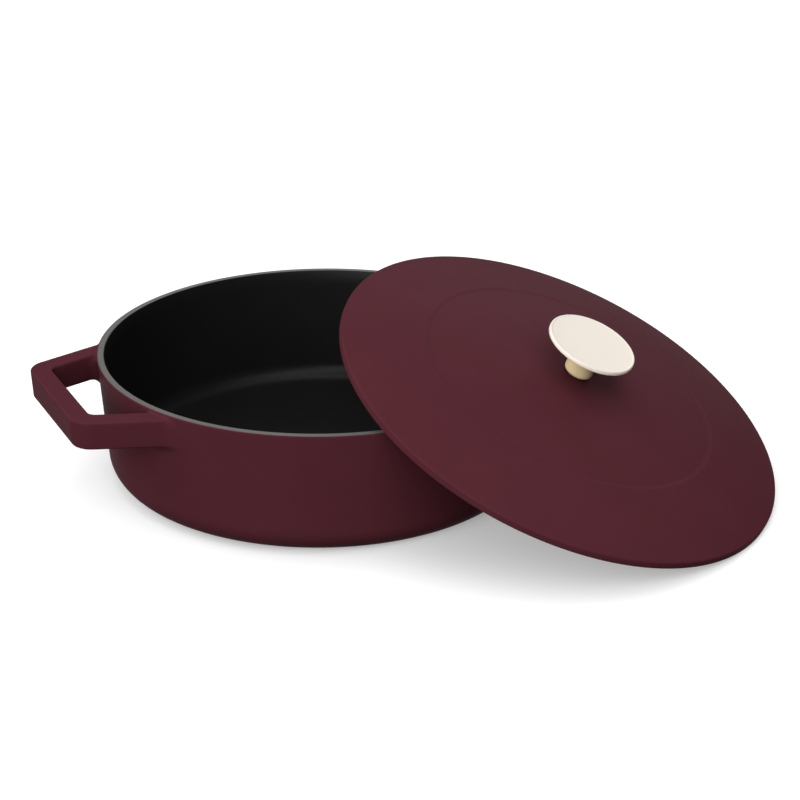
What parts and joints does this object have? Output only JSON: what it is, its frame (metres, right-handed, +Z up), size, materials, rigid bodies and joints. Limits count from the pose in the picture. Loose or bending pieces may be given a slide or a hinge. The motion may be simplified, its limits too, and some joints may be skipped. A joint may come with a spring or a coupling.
{
  "type": "cast iron pot with lid",
  "caption": "Shallow round enamelled cast iron pot with loop handles and a domed lid with a flat knob, for cooking on a hob or in an oven; the lid leans against the pot and lifts away.",
  "frame": {"origin": "middle of the pot's flat base, on the surface that it stands on", "axes": "+Z up; +X along the line through the middles of the loop handles, towards the handle that the lid leans over; the lid slopes down towards +X and -Y"},
  "size_m": [0.4458, 0.3959, 0.1291],
  "materials": {
    "bare_iron": "ground grey iron, matt",
    "burgundy_enamel": "satin vitreous enamel",
    "black_enamel": "matt vitreous enamel",
    "cream_coating": "smooth satin coating",
    "heat_proof_fibre": "dark matt fibre",
    "bright_steel": "bright zinc plate"
  },
  "bodies": {
    "pot": {"pot_casting": "bare_iron", "pot_outer_enamel": "burgundy_enamel", "pot_inner_enamel": "black_enamel", "pot_base_enamel": "black_enamel"},
    "lid": {"lid_casting": "bare_iron", "lid_outer_enamel": "burgundy_enamel", "lid_inner_enamel": "black_enamel", "knob_gasket": "heat_proof_fibre"},
    "knob": {"lid_knob": "cream_coating"},
    "screw": {"knob_screw": "bright_steel", "spring_washer": "bright_steel", "plain_washer": "bright_steel"}
  },
  "joints": [
    {"name": "lid_lift", "type": "slide", "parent": "pot", "child": "lid", "axis": [0, 0, 1], "range_m": [0, 0.25]},
    {"name": "knob_turn", "type": "hinge", "parent": "lid", "child": "knob", "pos_m": [0.12742, -0.12003, 0.09613], "axis": [0.2666, -0.3218, 0.9085], "range_deg": [0, 3600]},
    {"name": "screw_draw", "type": "slide", "parent": "lid", "child": "screw", "axis": [-0.2666, 0.3218, -0.9085], "range_m": [0, 0.0101]}
  ],
  "couplings": [
    {"joint": "screw_draw", "follows": "knob_turn", "m_per_rad": 0.00015915}
  ]
}
